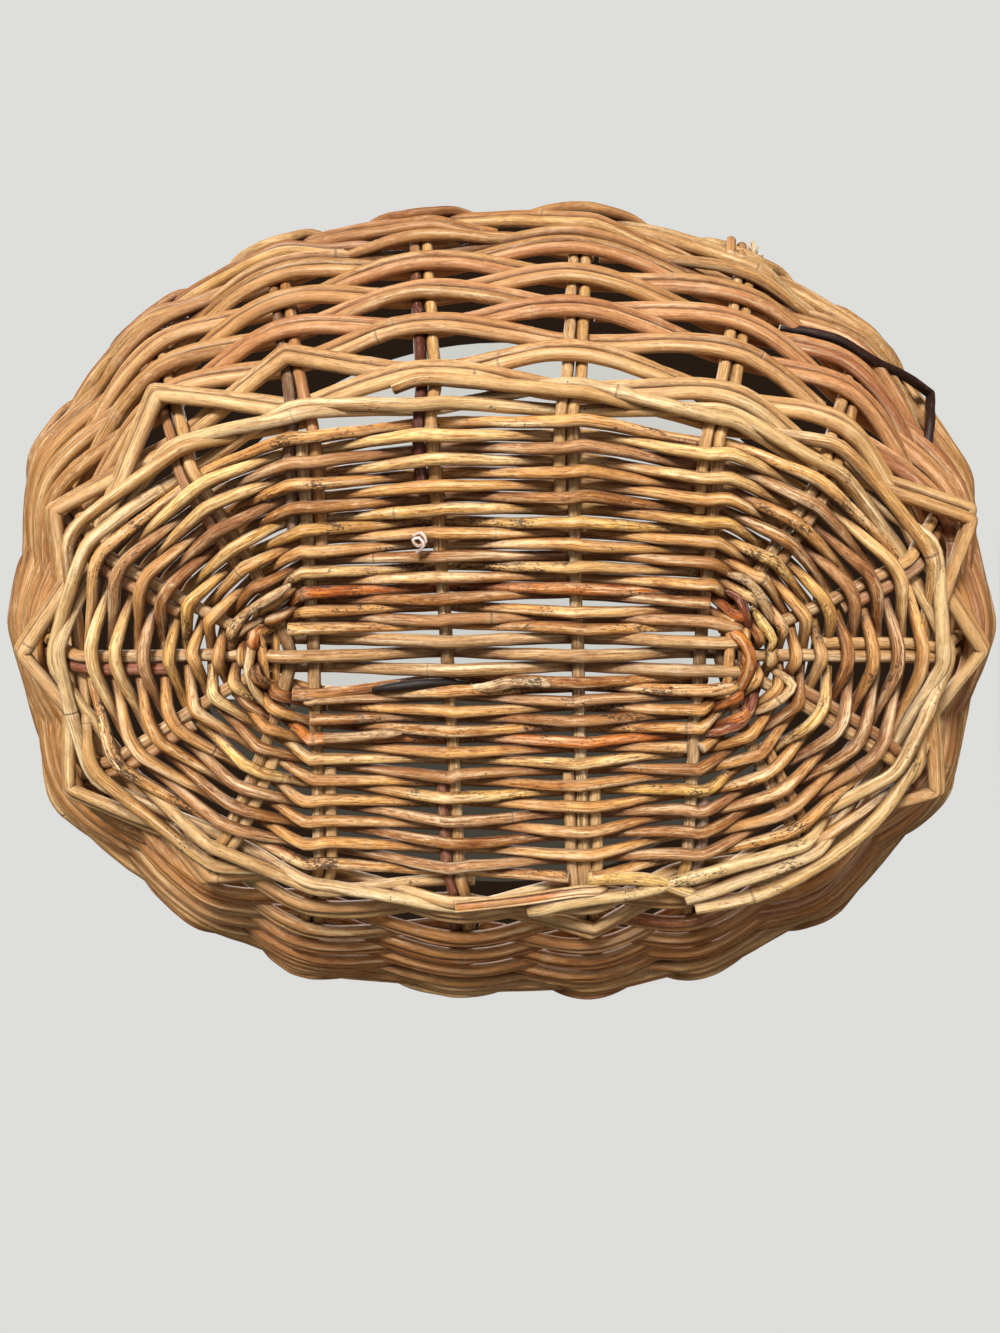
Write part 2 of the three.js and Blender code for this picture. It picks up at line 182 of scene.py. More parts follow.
# %% Where each spoke runs
CROSS_STICKS = [  # middle, lean, spread at -Y, spread at +Y
    (-93, 0.0, -56, -44),
    (-83, 0.01, 0, 0),
    (-24, 0.055, 0, 0),
    (34, 0.04, 0, 0),
    (88, -0.04, 0, 0),
    (97, 0.0, 60, 52),
]
LONG_STICKS = [(-1, -50, -43), (0, 0, 0), (1, 52, 50)]  # place, spread at -X, spread at +X
CROSS_SPREAD_POWER = 1.3  # the higher, the closer to its end a stick turns outwards
LONG_SPREAD_POWER = 1.1
LEAD = 6.0  # a spoke is drawn from this far before its first row


def cross_stick(stick, y):
    middle, lean, front, back = stick
    spread = np.where(y < 0, front, back) * np.abs(y / BASE_HALF[1]) ** CROSS_SPREAD_POWER
    return np.stack([middle + lean * y + spread, y], axis=-1)


def long_stick(stick, x):
    place, left, right = stick
    reach = np.maximum(0, np.abs(x) - LONG_SPREAD_START) / (BASE_HALF[0] - LONG_SPREAD_START)
    spread = np.where(x < 0, left, right) * reach**LONG_SPREAD_POWER
    return np.stack([x, place * LONG_PITCH + spread], axis=-1)


def make_spoke(kind, line_at, first):
    """Follow a stick outwards to the foot, and keep its line, length and angle there."""
    distance = np.linspace(first - LEAD, BASE_HALF[0], 800)
    line = line_at(distance)
    size = np.abs(line[:, 0] / BASE_HALF[0]) ** OVAL_POWER
    size += np.abs(line[:, 1] / BASE_HALF[1]) ** OVAL_POWER
    line = line[size < 1]
    travelled = travelled_along(line)
    length = travelled[-1] - LEAD
    x, y = line[-1] / BASE_HALF
    power = OVAL_POWER / 2
    angle = math.atan2(np.sign(y) * abs(y) ** power, np.sign(x) * abs(x) ** power)
    return {"kind": kind, "line": line, "travelled": travelled, "length": length, "angle": angle}


def beside_spoke(spoke, inset, sideways=0.0):
    """A place on the base, `inset` in from the foot along a spoke and `sideways` from it."""
    travelled, line = spoke["travelled"], spoke["line"]

    def at(distance):
        return np.array([np.interp(distance, travelled, line[:, k]) for k in (0, 1)])

    reach = travelled[-1] - inset
    middle = max(0.5, min(reach, travelled[-1] - 0.5))
    towards = unit(at(middle + 0.5) - at(middle - 0.5))
    return at(reach) + sideways * np.array([-towards[1], towards[0]])


def cross_spoke(stick, way):
    return make_spoke("cross", lambda d: cross_stick(stick, way * d), FIRST_ROW)


def long_spoke(stick, way):
    return make_spoke("long", lambda d: long_stick(stick, way * d), FIRST_ROW_END)


# Anticlockwise from the left end of the front, which is the side at -Y.
spokes = [cross_spoke(stick, -1) for stick in CROSS_STICKS]
spokes += [long_spoke(stick, 1) for stick in LONG_STICKS]
spokes += [cross_spoke(stick, 1) for stick in reversed(CROSS_STICKS)]
spokes += [long_spoke(stick, -1) for stick in reversed(LONG_STICKS)]
spans = [round(spoke["length"]) for spoke in spokes]
print(len(spokes), "spokes, from", min(spans), "to", max(spans), "mm long")


# %% [markdown]
# ## A rod
#
# A rod can't turn a sharp corner or change its thickness at will. It runs in easy bends
# through the places it is pulled to, it swells a little at each node where a leaf once grew,
# and it ends where the knife went through. The curve carries its own radius at every point, so
# one function can lay them all.


# %% Bend a line through places, and lay a rod along it
def bend(controls, ease=0.9, step=3.4, closed=False):
    """Points along a smooth line through the controls; any column past the third comes along."""
    controls = np.asarray(controls, float)
    ease = np.broadcast_to(ease, len(controls))
    if closed:
        ease = np.append(ease, ease[0])
        controls = np.concatenate([controls[-1:], controls, controls[:2]])
    else:
        first = 2 * controls[0] - controls[1]
        last = 2 * controls[-1] - controls[-2]
        controls = np.concatenate([[first], controls, [last]])
    lengths = np.linalg.norm(np.diff(controls[:, :3], axis=0), axis=1)
    pull = (controls[2:] - controls[:-2]) / (lengths[1:] + lengths[:-1])[:, None]
    pieces = []
    for index in range(len(controls) - 3):
        start, end = controls[index + 1], controls[index + 2]
        length = lengths[index + 1]
        count = max(2, int(round(length / step)))
        t = (np.arange(count) / count)[:, None]
        out = pull[index] * length * ease[index]
        back = pull[index + 1] * length * ease[index + 1]
        pieces.append(
            (2 * t**3 - 3 * t**2 + 1) * start + (t**3 - 2 * t**2 + t) * out
            + (3 * t**2 - 2 * t**3) * end + (t**3 - t**2) * back
        )
    if not closed:
        pieces.append(controls[-2][None])
    return np.concatenate(pieces)


def linear(code):
    """A display colour such as #C08A55 as the numbers that the renderer works in."""
    values = [int(code[k : k + 2], 16) / 255 for k in (1, 3, 5)]
    return np.array([v / 12.92 if v <= 0.04045 else ((v + 0.055) / 1.055) ** 2.4 for v in values])


def paint(code):
    """The same, as a colour socket wants it."""
    return (*linear(code), 1)


WAVES = (55.0, 31.0, 17.0)  # a rod keeps slight bends from its growth, this long in mm
STILL_END = 12.0  # but its ends stay where they are put
TIP = 0.35  # the thickness at the end of a tapered rod, as a share
NODE_LENGTH = 2.6
NODE_SWELL = 0.09
RARE_NODES = (900, 1000)  # for a piece shorter than the way from node to node


def make_rod(points, radius, tint, dirt=0.3, specks=0.3, taper=(0, 0), wobble=0.25,
             nodes=(110, 260)):
    """One rod: where it runs, how thick it is there, and how the skin has aged."""
    points = np.array(points[:, :3])
    radius = np.broadcast_to(radius, len(points)).astype(float)
    along = travelled_along(points)
    total = along[-1]
    phase = rng.uniform(0, 2 * math.pi, (3, 3))
    reach = np.minimum(1, np.minimum(along, total - along) / STILL_END)[:, None]
    for k, wave in enumerate(WAVES):
        swing = np.sin(2 * math.pi * along[:, None] / wave + phase[k]) / (k + 1)
        points += swing * reach * wobble / 1.8  # the three together swing by some 1.8
    node_at = np.cumsum(rng.uniform(*nodes, 12)) - rng.uniform(0, nodes[1])
    to_node = np.min(np.abs(along[:, None] - node_at[None]), axis=1)
    radius = radius * (1 + NODE_SWELL * np.exp(-((to_node / NODE_LENGTH) ** 2)))
    radius = radius * (1 + 0.02 * np.sin(along / 23 + phase[0, 0]))
    for end, distance in zip(taper, (along, total - along)):
        if end:
            radius = radius * (TIP + (1 - TIP) * np.clip(distance / end, 0, 1) ** 0.6)
    # No rod sinks into what the basket stands on.
    points[:, 2] = np.maximum(points[:, 2], radius)
    return {"points": points, "radius": radius, "tint": tint, "dirt": dirt, "specks": specks,
            "nodes": node_at}


BEVEL = 0.4  # mm from a cut to the full thickness
FACE = 0.42  # mm to the middle of the cut


def close_ends(rod):
    """Add the small bevel and the flat face that a knife leaves on either end."""
    points, radius = rod["points"], rod["radius"]
    head = unit(points[0] - points[1])
    tail = unit(points[-1] - points[-2])
    points = np.concatenate([
        [points[0] + head * FACE, points[0] + head * BEVEL],
        points,
        [points[-1] + tail * BEVEL, points[-1] + tail * FACE],
    ])
    thin = np.array([0.02, 0.9])
    radius = np.concatenate([radius[0] * thin, radius, radius[-1] * thin[::-1]])
    cut = np.zeros(len(points))
    cut[[0, 1, -2, -1]] = 1
    return points, radius, cut


RING = 12  # corners round a rod
FADE_FROM = 118.0  # where along its length a rod of two colours starts to change, in mm
FADE_LENGTH = 40.0
GRAIN_SHIFT = 400.0  # every rod shows its own stretch of the grain, up to this far off, in mm
NODE_REACH = 30.0
FIELDS = {
    "grain": ("FLOAT_VECTOR", "vector"),
    "tint": ("FLOAT_COLOR", "color"),
    "age": ("FLOAT_VECTOR", "vector"),
    "node": ("FLOAT", "value"),
}


def put(name, data):
    """Stand a mesh, curve, lamp or camera in the scene."""
    thing = bpy.data.objects.new(name, data)
    bpy.context.scene.collection.objects.link(thing)
    return thing


def lay(name, rods, slot, *nodes):
    """Turn rods into one mesh piece in metres, with the rod's own directions kept on it."""
    curve = bpy.data.curves.new(name, "CURVE")
    curve.dimensions = "3D"
    curve.bevel_depth = 1
    curve.bevel_resolution = RING // 2 - 2
    columns = {key: [] for key in FIELDS}
    turn = np.arange(RING) * 2 * math.pi / RING
    for rod in rods:
        points, radius, cut = close_ends(rod)
        spline = curve.splines.new("POLY")
        spline.points.add(len(points) - 1)
        whole = np.ones(len(points))
        places = np.column_stack([points / 1000, whole])
        spline.points.foreach_set("co", places.ravel())
        spline.points.foreach_set("radius", radius / 1000)
        along = travelled_along(points)
        offset = rng.uniform(-GRAIN_SHIFT, GRAIN_SHIFT, 3)
        side = radius[:, None] * np.cos(turn) + offset[0]
        front = radius[:, None] * np.sin(turn) + offset[1]
        length = np.repeat(along[:, None] + offset[2], RING, axis=1)
        columns["grain"].append(np.stack([side, front, length], axis=-1).reshape(-1, 3))
        faded = np.clip((along - FADE_FROM) / FADE_LENGTH, 0, 1)[:, None]
        far_tint = rod.get("far_tint", rod["tint"])
        tint = (1 - faded) * linear(rod["tint"]) + faded * linear(far_tint)
        to_node = np.min(np.abs(along[:, None] - rod["nodes"][None]), axis=1)
        at_points = {
            "tint": np.column_stack([tint, whole]),
            "age": np.column_stack([rod["dirt"] * whole, rod["specks"] * whole, cut]),
            "node": np.minimum(to_node, NODE_REACH),
        }
        for key, values in at_points.items():
            columns[key].append(np.repeat(values, RING, axis=0))
    shaped = put(name + "_line", curve)
    graph = bpy.context.evaluated_depsgraph_get()
    mesh = bpy.data.meshes.new_from_object(shaped.evaluated_get(graph))
    bpy.data.objects.remove(shaped)
    for key, (kind, field) in FIELDS.items():
        values = np.concatenate(columns[key]).astype(np.float32)
        assert len(values) == len(mesh.vertices), (name, len(values), len(mesh.vertices))
        mesh.attributes.new(key, kind, "POINT").data.foreach_set(field, values.ravel())
    mesh.shade_smooth()
    mesh.materials.clear()
    mesh.materials.append(skin[slot])
    piece = put(name, mesh)
    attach(piece, "root")
    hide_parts(*nodes)
    print(name, len(rods), "rods,", sum(len(p.vertices) - 2 for p in mesh.polygons), "triangles")


# %% [markdown]
# ## The skin of a rattan rod
#
# Whole rattan keeps a hard, slightly waxy skin. Under it long fibres show as fine streaks, a
# ring marks each node, and the underside that stood on wet soil has darkened, with black
# specks of mould and places where the skin has flaked. Each rod carries its own colour. The
# rest is added in the rod's own directions, in real millimetres, so that streaks follow every
# bend.
# Where rods lie on each other, painted shade and some grime darken them.


# %% A rattan material
def empty_tree(owner):
    owner.use_nodes = True
    owner.node_tree.nodes.clear()
    return owner.node_tree


def add_node(tree, kind, inputs=None, **settings):
    node = tree.nodes.new(kind)
    for key, value in settings.items():
        setattr(node, key, value)
    for key, value in (inputs or {}).items():
        if isinstance(value, bpy.types.NodeSocket):
            tree.links.new(value, node.inputs[key])
        else:
            node.inputs[key].default_value = value
    return node


# The skin's own colours, but for the third, which is painted shade with some grime between rods. The
# first three and the soil darken a rod, the rest are laid over it.
FIBRE, SCRATCH, CREVICE_GRIME_AND_SHADE = "#956F4B", "#956C45", "#694222"
BLEACHED, FLAKE, SWOLLEN = "#F8E6BD", "#EDDDBC", "#EFDAB5"
NODE_LINE, MOULD = "#6F553C", "#35291F"
PITH_DARK, PITH_PALE = "#957959", "#E5CEAA"


def rattan(name, roughness, fade, soil, streak=0.75, bleach=0.8):
    """Whole rattan: a waxy skin over long fibres, weathered as much as each rod says."""
    material = bpy.data.materials.new(name)
    tree = empty_tree(material)

    def math_node(operation, first, second=0.0, third=0.0):
        inputs = {0: first, 1: second, 2: third}
        return add_node(tree, "ShaderNodeMath", inputs, operation=operation).outputs[0]

    def times(first, second):
        return math_node("MULTIPLY", first, second)

    def ranged(value, low, high, to_low=0.0, to_high=1.0):
        inputs = {0: value, 1: low, 2: high, 3: to_low, 4: to_high}
        return add_node(tree, "ShaderNodeMapRange", inputs).outputs[0]

    def mixed(factor, first, second, blend="MIX"):
        inputs = {0: factor, 6: first, 7: second}
        kinds = {"data_type": "RGBA", "blend_type": blend}
        return add_node(tree, "ShaderNodeMix", inputs, **kinds).outputs[2]

    def noise(scale, stretch, detail=3.0, rough=0.6):
        """Noise across, across and along the rod: at a scale of 1 a spot is some 1 mm wide."""
        inputs = {0: grain, 1: stretch}
        place = add_node(tree, "ShaderNodeVectorMath", inputs, operation="MULTIPLY").outputs[0]
        inputs = {"Vector": place, "Scale": scale, "Detail": detail, "Roughness": rough}
        return add_node(tree, "ShaderNodeTexNoise", inputs).outputs[0]

    def laid(field, socket):
        """What `lay` kept on the mesh."""
        return add_node(tree, "ShaderNodeAttribute", attribute_name=field).outputs[socket]

    def darkened(amount, strength, code):
        return mixed(amount, colour, mixed(strength, colour, paint(code), "MULTIPLY"))

    grain, to_node = laid("grain", "Vector"), laid("node", "Fac")
    tint, age = laid("tint", "Color"), laid("age", "Vector")
    dirt, specks, cut = add_node(tree, "ShaderNodeSeparateXYZ", {0: age}).outputs

    # Fine fibres: 0.5 mm wide and some 20 mm long.
    fibres = noise(1.9, (1.0, 1.0, 0.025), 4.0, 0.7)
    dark = mixed(streak, tint, paint(FIBRE), "MULTIPLY")
    colour = mixed(ranged(fibres, 0.42, 0.56), dark, tint)
    # Dark rods neither bleach nor fade.
    lightness = add_node(tree, "ShaderNodeRGBToBW", {0: tint}).outputs[0]
    pale = ranged(lightness, 0.04, 0.14)
    # Broad bands where the skin has bleached, and small pale flakes.
    bands = noise(1.0, (0.55, 0.55, 0.018), 3.0)
    bleached = mixed(0.72, colour, paint(BLEACHED))
    colour = mixed(times(ranged(bands, 0.5, 0.68, 0, bleach), pale), colour, bleached)
    flakes = noise(1.0, (0.9, 0.9, 0.22), 5.0, 0.75)
    flaked = times(ranged(flakes, 0.56, 0.66), dirt)
    colour = mixed(times(flaked, 0.6), colour, paint(FLAKE))
    # Short scratches and worn dashes, some 0.6 mm wide and 4 mm long.
    dashes = noise(1.5, (1.0, 1.0, 0.16), 4.0, 0.7)
    worn = times(ranged(dashes, 0.54, 0.62), math_node("MULTIPLY_ADD", dirt, 0.7, 0.2))
    colour = darkened(worn, 0.85, SCRATCH)
    # Slow change of colour along the rod.
    slow = noise(1.0, (0.03, 0.03, 0.012), 2.0)
    colour = mixed(times(ranged(slow, 0.45, 0.75, 0, 0.55), pale), colour, paint(fade))
    # Weathering in patches some 5 mm wide and 20 mm long.
    patches = noise(1.0, (0.22, 0.22, 0.05), 4.0, 0.7)
    grime = times(ranged(patches, 0.42, 0.66), dirt)
    colour = darkened(grime, 0.9, soil)
    # Mould in small black specks, thick in some places and absent in others.
    spots = noise(1.0, (1.3, 1.3, 0.6), 2.0, 0.7)
    where = noise(1.0, (0.12, 0.12, 0.06), 2.0)
    thickness = times(ranged(where, 0.3, 0.75), times(specks, 0.53))
    level = math_node("SUBTRACT", 0.85, thickness)
    spot = ranged(math_node("SUBTRACT", spots, level), 0.0, 0.04)
    colour = mixed(times(spot, 0.85), colour, paint(MOULD))
    # The ring at a node: a dark line with a paler swelling on either side.
    ring = ranged(to_node, 0.9, 0.3)
    swell = times(ranged(to_node, 3.5, 1.0, 0, 0.3), pale)
    colour = mixed(swell, colour, mixed(0.3, colour, paint(SWOLLEN)))
    colour = mixed(times(ring, 0.6), colour, paint(NODE_LINE))
    # Painted shade, with some grime, within 9 mm of where rods lie on each other.
    inputs = {"Distance": 0.009}
    crevice_occlusion = add_node(tree, "ShaderNodeAmbientOcclusion", inputs, samples=4, only_local=True)
    shade = ranged(crevice_occlusion.outputs["AO"], 0.93, 0.43)
    colour = darkened(shade, 0.94, CREVICE_GRIME_AND_SHADE)
    # Open fibre ends show on a cut.
    pores = noise(3.0, (1.0, 1.0, 0.2), 2.0)
    wood = mixed(ranged(pores, 0.4, 0.62), paint(PITH_DARK), paint(PITH_PALE))
    colour = mixed(cut, colour, wood)

    height = times(fibres, 0.5)
    for mark, depth in ((ring, -0.9), (grime, -0.4), (worn, -0.5)):
        height = math_node("ADD", height, times(mark, depth))
    # The marks are up to 0.35 mm deep.
    inputs = {"Strength": 0.9, "Distance": 0.00035, "Height": height}
    relief = add_node(tree, "ShaderNodeBump", inputs)
    # The wax has worn dull, so it mirrors less than a fresh skin.
    shader = add_node(tree, "ShaderNodeBsdfPrincipled", {
        "Base Color": colour,
        "Roughness": ranged(grime, 0, 1, roughness, roughness + 0.25),
        "Specular IOR Level": 0.25,
        "Normal": relief.outputs[0],
    })
    add_node(tree, "ShaderNodeOutputMaterial", {"Surface": shader.outputs[0]})
    return material


skin = {
    # Base sticks: dry, grey brown.
    "stick": rattan("rattan_stick_weathered", 0.6, "#A2815D", "#AD8E6C"),
    # Base rods: straw to brown, the most weathered of all.
    "base_weaver": rattan("rattan_base_weathered", 0.5, "#AD7C4B", "#B58B61"),
    # Foot rods: pale straw skin, still smooth.
    "wale": rattan("rattan_pale_straw", 0.45, "#CEAD76", "#BC9E73", 0.65, 0.9),
    # Side rods: warm orange tan.
    "side_rod": rattan("rattan_orange_tan", 0.5, "#B17E50", "#BC8E61", 0.5, 0.42),
    # Stakes: tan to reddish brown.
    "stake": rattan("rattan_stake_brown", 0.52, "#95694B", "#9E7C59", 0.5, 0.4),
}
print(len(skin), "materials")


def names_of(*starts):
    return sorted(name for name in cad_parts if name.startswith(starts))


# %% [markdown]
# ## Placing a rod at given pixels
#
# The rods that broke, curled or ended in the open follow no rule. A weaver would point at the
# place, so these are placed by pixels of the photograph, each seen back onto the base or the
# side, and a layer: 0 is the layer of the sticks, 1 lies over them, 2 lies over the weave.

# %% From a pixel to a place
def seen_on_base(pixel_x, pixel_y, layer):
    """The place on the base that shows at a pixel, found in a few steps as the base is crowned."""
    slope = (CENTRE[1] - pixel_y) / FOCAL
    x = y = 0.0
    for _ in range(6):
        z = on_base(np.array([x, y]), layer * BASE_STEP)[2]
        y = -(slope * (DISTANCE + z * COS) - z * SIN) / (COS + slope * SIN)
        x = (pixel_x - CENTRE[0]) / FOCAL * (DISTANCE + y * SIN + z * COS)
    return [x, y, z]


def seen_on_side(pixel_x, pixel_y, out):
    """The place on the side, nearest in the picture to a pixel, then `out` from there."""
    angle, rise = np.meshgrid(np.linspace(-math.pi, math.pi, 1441), np.linspace(8, SLANT, 140))
    x, y, z = np.moveaxis(wall(angle, rise), -1, 0)
    depth = DISTANCE + y * SIN + z * COS
    across = CENTRE[0] + FOCAL * x / depth - pixel_x
    down = CENTRE[1] - FOCAL * (z * SIN - y * COS) / depth - pixel_y
    best = np.unravel_index(np.argmin(across**2 + down**2), angle.shape)
    return on_wall(angle[best], 0.0, rise[best], out)


def by_eye(places, on=seen_on_base, ease=0.9):
    return bend([on(*place) for place in places], ease)


print("the pixel", CENTRE, "shows the place", np.round(seen_on_base(*CENTRE, 0)), "of the base")

# %% [markdown]
# ## The cross of sticks
#
# Six cross sticks lie level. Three long sticks are pushed through them, the middle one
# against the outer two, so that the cross holds itself before a single row is woven.

# %% Lay the nine sticks
CROSS_LEVEL = 2 * STICK + 0.3
STICK_INSET = 9.0  # from the end of a stick to the foot
CROSS_TINTS = ["#A67F4E", "#AE8550", "#B68D56", "#A78454", "#AB8050", "#9D7546"]
# Where the long sticks pass the cross sticks, and where they lie level again beyond them.
CROSSINGS = [(-98, -78), (-29, -19), (29, 39), (83, 102)]
LEVEL_LEFT, LEVEL_RIGHT = -105, 109

sticks = []
for number, stick in enumerate(CROSS_STICKS):
    ends = [beside_spoke(spoke, STICK_INSET)[1] for spoke in (spokes[number], spokes[14 - number])]
    line = cross_stick(stick, np.linspace(*ends, 60))
    sticks.append(make_rod(on_base(line), STICK, CROSS_TINTS[number], 0.6, 0.5))
for stick in LONG_STICKS:
    place = stick[0]
    left = beside_spoke(spokes[16 - place], STICK_INSET)[0]
    right = beside_spoke(spokes[7 + place], STICK_INSET)[0]
    turns = [(left, 0), ((left + LEVEL_LEFT) / 2, 0), (LEVEL_LEFT, 0)]
    for index, (start, end) in enumerate(CROSSINGS):
        level = CROSS_LEVEL if (index + place) % 2 == 0 else -CROSS_LEVEL
        turns += [(start, level), (end, level)]
    turns += [(LEVEL_RIGHT, 0), ((right + LEVEL_RIGHT) / 2, 0), (right, 0)]
    x, level = np.array(turns, float).T
    line = bend(np.column_stack([on_base(long_stick(stick, x), level)]), 0.8)
    sticks.append(make_rod(line, STICK, "#B9905D", 0.55, 0.45))
# One stick is cut only past the foot rods, where its end shows.
LONG_END = spokes[11]
tail = [on_base(beside_spoke(LONG_END, inset)) for inset in (14.0, 7.0)]
tail += [on_wall(LONG_END["angle"], 0.0, rise) for rise in (1.0, 7.0, 12.5)]
sticks.append(make_rod(bend(tail), STICK + 0.3, "#C29C62", 0.5, 0.5, nodes=RARE_NODES))
lay("sticks", sticks, "stick", *names_of("cross_stick", "long_stick"))

# %% [markdown]
# ## The woven base
#
# Two rods are carried round together, so that one is always outside where the other is
# inside. The first rows take neighbouring sticks as one. Rods squeeze a little thinner where
# two of them pass each other between the sticks.

# %% Weave the base
GROUPS = [(0, 1), (2, 2), (3, 3), (4, 5), (6, 8), (9, 10), (11, 11), (12, 12), (13, 14), (15, 17)]
STAKE_REACH = 44.0  # how far the stakes run into the base
BUNDLE_HALF, SINGLE_HALF = 5.0, 1.6  # half of what a row bends round: stick and stakes, or stick
CROSS_END, SETTLE = 102, 7  # the long sticks come down to the level of the rest over this stretch
TAN, STRAW, YELLOW = "#D6A25C", "#E6C07C", "#E0B462"
RUST, BROWN, ROSE = "#CC7A2C", "#A87238", "#BA8C5C"
FRONT_TINTS = [TAN, ROSE, TAN, BROWN, RUST, TAN, STRAW, BROWN, TAN, TAN, YELLOW, YELLOW, BROWN, TAN,
               TAN, STRAW, ROSE, STRAW, TAN]
BACK_TINTS = [BROWN, TAN, ROSE, TAN, BROWN, TAN, RUST, TAN, STRAW, BROWN, TAN, YELLOW, TAN, ROSE,
              TAN, BROWN, TAN, ROSE, TAN]
SINGLES = [(index, index) for index in range(18)]
OUTER_CROSS = (0, 5, 9, 14)
# Rows that were pushed aside: (row, spoke) and the distance away from the middle.
PUSHED = {(0, 13): 5.0, (0, 14): 4.0, (1, 13): 2.5, (2, 3): -1.5, (2, 2): 1.0, (3, 3): 2.0}


def row_controls(row):
    """The places that one row passes, on either side of each stick or group of sticks."""
    middle_share = (row / (BASE_ROWS - 1)) ** ROW_SPREAD
    end_share = max(0, row - FREE_ROWS) / (BASE_ROWS - 1 - FREE_ROWS)
    grouped = row < GROUPED_ROWS
    controls = []
    for turn, (first, last) in enumerate(GROUPS if grouped else SINGLES):
        side = 1 if (turn + row + (not grouped)) % 2 == 0 else -1
        nudge = rng.normal(0, 0.3, 2)
        for end, index in enumerate((first, last)):
            spoke = spokes[index]
            turning = 1 if spoke["kind"] == "long" else 0.5 if index in OUTER_CROSS else 0
            share = middle_share + (end_share - middle_share) * turning
            inset = spoke["length"] + (LAST_ROW_INSET - spoke["length"]) * share
            inset -= PUSHED.get((row, index), 0)
            half = BUNDLE_HALF if inset < STAKE_REACH else SINGLE_HALF
            sideways = -half if end == 0 else half
            place = beside_spoke(spoke, inset + nudge[end], sideways)
            past = max(0, min(1, (abs(place[0]) - CROSS_END) / SETTLE))
            lift = CROSS_LEVEL * (1 - past) if spoke["kind"] == "long" else 0
            controls.append([*on_base(place, side * (BASE_STEP + lift)), side])
    return controls


# Ends that show on the outside: the half of the row they belong to, and where they are cut.
SHOWN_ENDS = {("back", 4): -88.0, ("front", 3): 95.0, ("back", 7): 90.0, ("back", 18): 38.0}
TURN_FREE = 101.0  # the first rows stop here, but for a few millimetres of their own
FREE_SHIFTS = (-7, 4, 0, 5)
KINK_SPOKES = (7, 14, 16)  # where the inner rows broke as they were bent


def joint_near(ring, at_x, front, outside):
    """The place of a row nearest to an x on its front or back half, outside or inside."""
    this_half = (ring[:, 1] < 0) == front
    level = ring[:, 3] > 0.9 if outside else ring[:, 3] < -0.9
    found = np.flatnonzero(this_half & level)
    return int(found[np.argmin(np.abs(ring[found, 0] - at_x))])


base_rods = []
for row in range(BASE_ROWS):
    controls = row_controls(row)
    ease = [0.85] * len(controls)
    if GROUPED_ROWS <= row < KINKED_ROWS:
        for index in KINK_SPOKES:
            ease[2 * index] = ease[2 * index + 1] = 0.4
    ring = bend(controls, ease, closed=True)
    right = joint_near(ring, ring[:, 0].max() - rng.uniform(0, 45), row % 2 == 1, False)
    left = joint_near(ring, ring[:, 0].min() + rng.uniform(0, 45), row % 3 == 1, False)
    halves = [("back", BACK_TINTS[row], right, left), ("front", FRONT_TINTS[row], left, right)]
    for half, tint, start, end in halves:
        cuts = [(start, end)]
        if (half, row) in SHOWN_ENDS:
            cut = joint_near(ring, SHOWN_ENDS[half, row], half == "front", True)
            cuts = [(start, cut), (cut + 3, end)]
        for first, last in cuts:
            part = ring[(first + np.arange((last - first) % len(ring) + 1)) % len(ring)].copy()
            if row < FREE_ROWS:
                part = part[np.abs(part[:, 0]) < TURN_FREE + FREE_SHIFTS[row]]
            part[-1, :3] -= unit(part[-1, :3] - part[-2, :3]) * 1.2
            radius = WEAVER * (0.84 + 0.16 * np.abs(part[:, 3]))
            base_rods.append(make_rod(part, radius, tint, rng.uniform(0.4, 1.0), rng.uniform(0.3, 1.0)))

# The rods that go their own way: tint, radius, dirt, specks, and places as pixels with a layer.
BY_EYE = {
    "left_curl": ("#D2AC6C", 2.3, 0.6, 0.6, [
        (274, 622, -0.4), (259, 626, 0.7), (252, 649, 1.1), (249, 672, 1.1), (256, 692, 0.8),
        (272, 710, 0.1), (290, 722, -0.9)]),
    "left_short": ("#B98A50", 2.4, 0.8, 0.5, [
        (266, 617, 0.9), (243, 630, 0.6), (229, 650, -0.2), (222, 668, -1)]),
    "left_under": ("#A06C38", 2.4, 0.8, 0.5, [
        (226, 655, -1), (232, 676, -0.3), (243, 700, 0.5), (272, 720, 0.2)]),
    "left_broken": ("#D0B284", 2.3, 1.0, 1.0, [(240, 617, 1.7), (262, 603, 2.0), (290, 585, 1.6)]),
    "worn_tip": ("#BFA57C", 2.3, 1.0, 0.7, [
        (292, 729, 0.2), (318, 738, 1.0), (359, 737, 1.1), (401, 733, 0.9)]),
    "black_strand": ("#20150E", 2.1, 0.0, 0.0, [
        (372, 690, 0.8), (400, 686, 1.0), (432, 683, 1.0), (470, 684, 0.2)]),
    "frayed_end": ("#CDB48A", 2.5, 1.0, 1.0, [
        (468, 687, 0.7), (484, 688, 0.9), (512, 682, 0.9), (560, 684, 0.7)]),
    "right_curl": ("#C07830", 2.7, 0.7, 0.3, [
        (722, 628, 0.2), (734, 633, 1.2), (746, 645, 1.6), (750, 660, 1.6), (744, 680, 1.1),
        (733, 695, 0.4)]),
    "red_strand": ("#7A3C22", 2.4, 0.7, 0.4, [
        (722, 590, 0.3), (738, 597, 1.0), (746, 616, 1.1), (750, 637, 0.1)]),
    "spotted_end": ("#D8B25C", 2.5, 0.9, 1.0, [
        (752, 607, 1.0), (763, 625, 1.2), (773, 640, 1.4), (768, 652, 1.2)]),
    "grey_spotted": ("#B4966C", 2.4, 0.8, 0.9, [
        (724, 573, 0.4), (748, 581, 1.1), (762, 601, 1.2), (771, 620, 0.8), (777, 634, -0.6)]),
    "red_under": ("#8A4A2A", 2.4, 0.9, 0.5, [
        (755, 678, -0.4), (752, 703, 0.6), (742, 722, 1.0), (724, 730, 1.1), (700, 735, 0.4)]),
    "right_kink": ("#D2B078", 2.5, 0.8, 0.7, [
        (769, 667, 0.3), (792, 686, 1.1), (778, 700, 1.1), (752, 714, 0.5)]),
}
THIN = 2.55  # thinner rods than this come to a point
